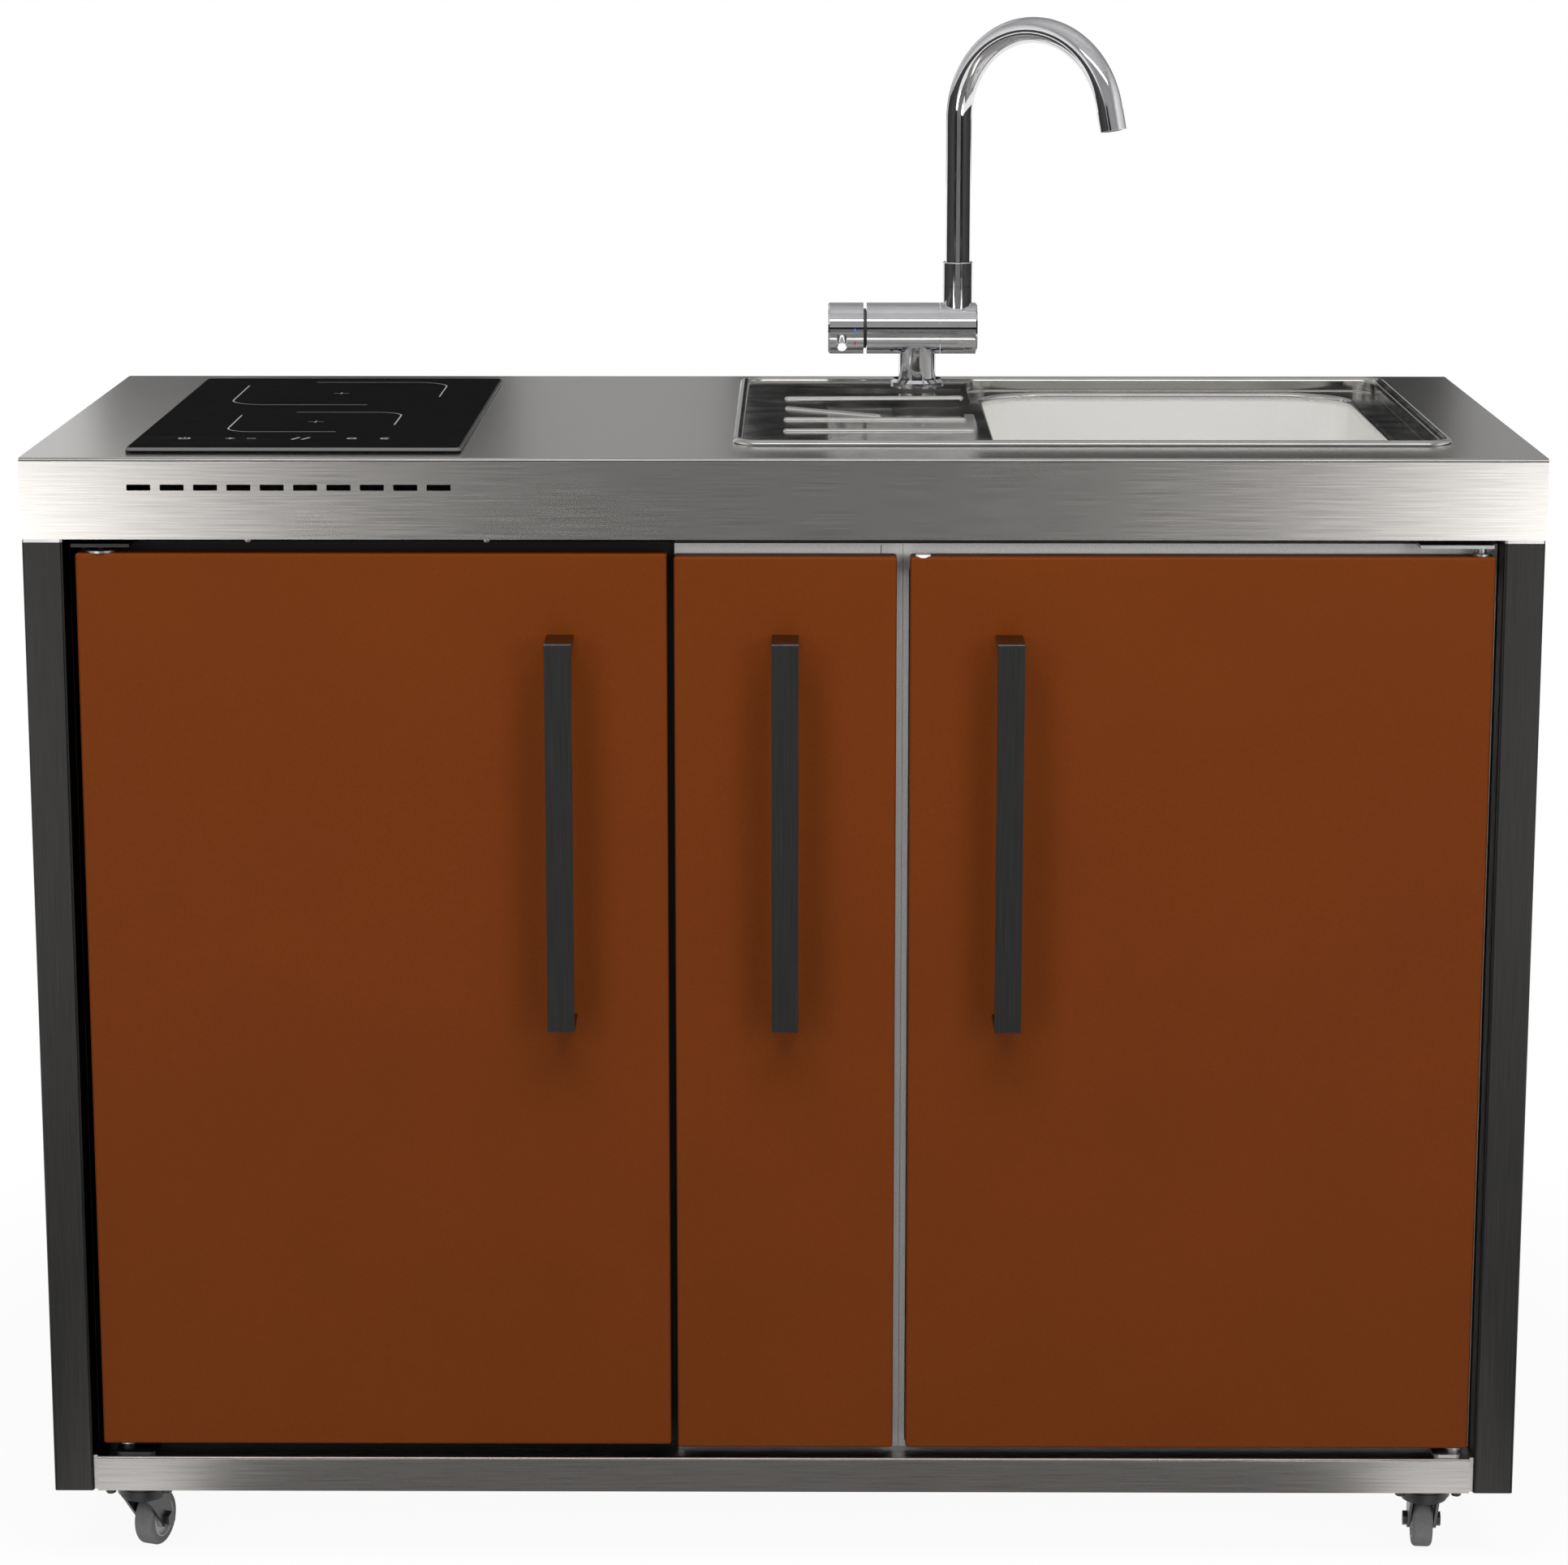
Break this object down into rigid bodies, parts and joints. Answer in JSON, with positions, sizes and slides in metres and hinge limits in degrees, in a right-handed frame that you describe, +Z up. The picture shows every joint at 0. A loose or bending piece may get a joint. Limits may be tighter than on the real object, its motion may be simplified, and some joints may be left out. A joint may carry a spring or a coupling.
{
  "type": "outdoor kitchen unit",
  "caption": "Mobile steel outdoor kitchen: induction hob, sink with folding tap, cold cabinet, narrow pull-out and sink cabinet with bar handles, on swivel casters.",
  "frame": {"origin": "on the floor under the centre of the outline, with the handles counted", "axes": "+X to the right as seen from the front, +Y to the back, +Z up"},
  "size_m": [1.3, 0.64, 1.356],
  "materials": {
    "brushed_worktop": "brushed along X",
    "brushed_tray": "brushed along X",
    "leg_steel": "dark, brushed upright",
    "bright_steel": "bright satin",
    "dark_sheet": "matt",
    "hob_glass": "black polished glass ceramic",
    "hob_steel": "galvanised",
    "sink_steel": "polished deck, satin bowl",
    "white_plastic": "smooth",
    "tap_chrome": "polished",
    "nut_brass": "machined",
    "cartridge_grey": "moulded",
    "case_black": "matt",
    "clear_plastic": "clear",
    "shelf_glass": "clear",
    "door_coat": "matt copper-brown powder coat",
    "gasket_grey": "matt",
    "handle_steel": "dark, brushed",
    "hinge_steel": "zinc",
    "cabinet_steel": "light grey",
    "caster_black": "satin",
    "wheel_rubber": "grey tyre on a light hub"
  },
  "bodies": {
    "frame": {"worktop": "brushed_worktop", "leg_plates": "bright_steel", "leg_fl": "leg_steel", "leg_fr": "leg_steel", "leg_bl": "leg_steel", "leg_br": "leg_steel", "tray": "brushed_tray", "side_panel_l": "dark_sheet", "side_panel_r": "dark_sheet", "back_panel": "dark_sheet", "hob_glass": "hob_glass", "hob_box": "hob_steel", "sink": "sink_steel", "strainer": "bright_steel", "waste": "white_plastic", "tap_body": "tap_chrome", "tap_nut": "nut_brass", "cold_case": "case_black", "cold_liner": "white_plastic", "cold_shelves": "shelf_glass", "cold_bin": "clear_plastic", "thermostat": "white_plastic", "hinge_l": "hinge_steel", "cabinet_m": "cabinet_steel", "runner_fixed": "hinge_steel", "cabinet_r": "cabinet_steel", "hinge_r": "hinge_steel", "caster_plates": "caster_black"},
    "cold_door": {"door_l": "door_coat", "door_l_inner": "white_plastic", "gasket": "gasket_grey", "door_racks": "clear_plastic", "handle_l": "handle_steel", "bushes_l": "hinge_steel"},
    "sink_door": {"door_r": "door_coat", "door_r_back": "dark_sheet", "handle_r": "handle_steel", "bushes_r": "hinge_steel", "buffer": "white_plastic"},
    "pull_out": {"front_m": "door_coat", "front_m_back": "dark_sheet", "pull_frame": "hinge_steel", "basket_low": "bright_steel", "basket_high": "bright_steel", "handle_m": "handle_steel", "runner_inner": "hinge_steel"},
    "pull_out_mid": {"runner_mid": "hinge_steel"},
    "cartridge": {"tap_cartridge": "cartridge_grey"},
    "lever": {"tap_handle": "tap_chrome"},
    "elbow": {"tap_elbow": "tap_chrome"},
    "spout": {"tap_spout": "tap_chrome"},
    "fork_fl": {"fork_fl": "caster_black"},
    "wheel_fl": {"wheel_fl": "wheel_rubber"},
    "fork_fr": {"fork_fr": "caster_black"},
    "wheel_fr": {"wheel_fr": "wheel_rubber"},
    "fork_bl": {"fork_bl": "caster_black"},
    "wheel_bl": {"wheel_bl": "wheel_rubber"},
    "fork_br": {"fork_br": "caster_black"},
    "wheel_br": {"wheel_br": "wheel_rubber"}
  },
  "joints": [
    {"name": "cold_door_hinge", "type": "hinge", "parent": "frame", "child": "cold_door", "pos_m": [-0.585, -0.262, 0.5], "axis": [0, 0, -1], "range_deg": [0, 110]},
    {"name": "sink_door_hinge", "type": "hinge", "parent": "frame", "child": "sink_door", "pos_m": [0.598, -0.264, 0.5], "axis": [0, 0, 1], "range_deg": [0, 100]},
    {"name": "pull_out_slide", "type": "slide", "parent": "frame", "child": "pull_out", "axis": [0, -1, 0], "range_m": [0, 0.4]},
    {"name": "pull_out_mid_slide", "type": "slide", "parent": "frame", "child": "pull_out_mid", "axis": [0, -1, 0], "range_m": [0, 0.2]},
    {"name": "tap_temperature", "type": "hinge", "parent": "frame", "child": "cartridge", "pos_m": [0.06, 0.24, 1.0568], "axis": [1, 0, 0], "range_deg": [-45, 45]},
    {"name": "tap_flow", "type": "hinge", "parent": "cartridge", "child": "lever", "pos_m": [0.0618, 0.24, 1.0568], "axis": [0, 0.309, -0.9511], "range_deg": [0, 6]},
    {"name": "tap_fold", "type": "hinge", "parent": "frame", "child": "elbow", "pos_m": [0.16, 0.24, 1.0568], "axis": [1, 0, 0], "range_deg": [0, 90]},
    {"name": "spout_swivel", "type": "hinge", "parent": "elbow", "child": "spout", "pos_m": [0.1657, 0.24, 1.106], "axis": [0, 0, 1], "range_deg": [-110, 75]},
    {"name": "swivel_fl", "type": "hinge", "parent": "frame", "child": "fork_fl", "pos_m": [-0.577, -0.24, 0.06], "axis": [0, 0, 1], "continuous": true},
    {"name": "roll_fl", "type": "hinge", "parent": "fork_fl", "child": "wheel_fl", "pos_m": [-0.57016, -0.22121, 0.025], "axis": [0.9397, -0.342, 0], "continuous": true},
    {"name": "swivel_fr", "type": "hinge", "parent": "frame", "child": "fork_fr", "pos_m": [0.577, -0.24, 0.06], "axis": [0, 0, 1], "continuous": true},
    {"name": "roll_fr", "type": "hinge", "parent": "fork_fr", "child": "wheel_fr", "pos_m": [0.5784, -0.22005, 0.025], "axis": [0.9976, -0.0698, 0], "continuous": true},
    {"name": "swivel_bl", "type": "hinge", "parent": "frame", "child": "fork_bl", "pos_m": [-0.577, 0.28, 0.06], "axis": [0, 0, 1], "continuous": true},
    {"name": "roll_bl", "type": "hinge", "parent": "fork_bl", "child": "wheel_bl", "pos_m": [-0.57016, 0.26121, 0.025], "axis": [-0.9397, -0.342, 0], "continuous": true},
    {"name": "swivel_br", "type": "hinge", "parent": "frame", "child": "fork_br", "pos_m": [0.577, 0.28, 0.06], "axis": [0, 0, 1], "continuous": true},
    {"name": "roll_br", "type": "hinge", "parent": "fork_br", "child": "wheel_br", "pos_m": [0.57353, 0.2603, 0.025], "axis": [-0.9848, 0.1736, 0], "continuous": true}
  ],
  "couplings": [
    {"joint": "pull_out_mid_slide", "follows": "pull_out_slide", "ratio": 0.5}
  ]
}
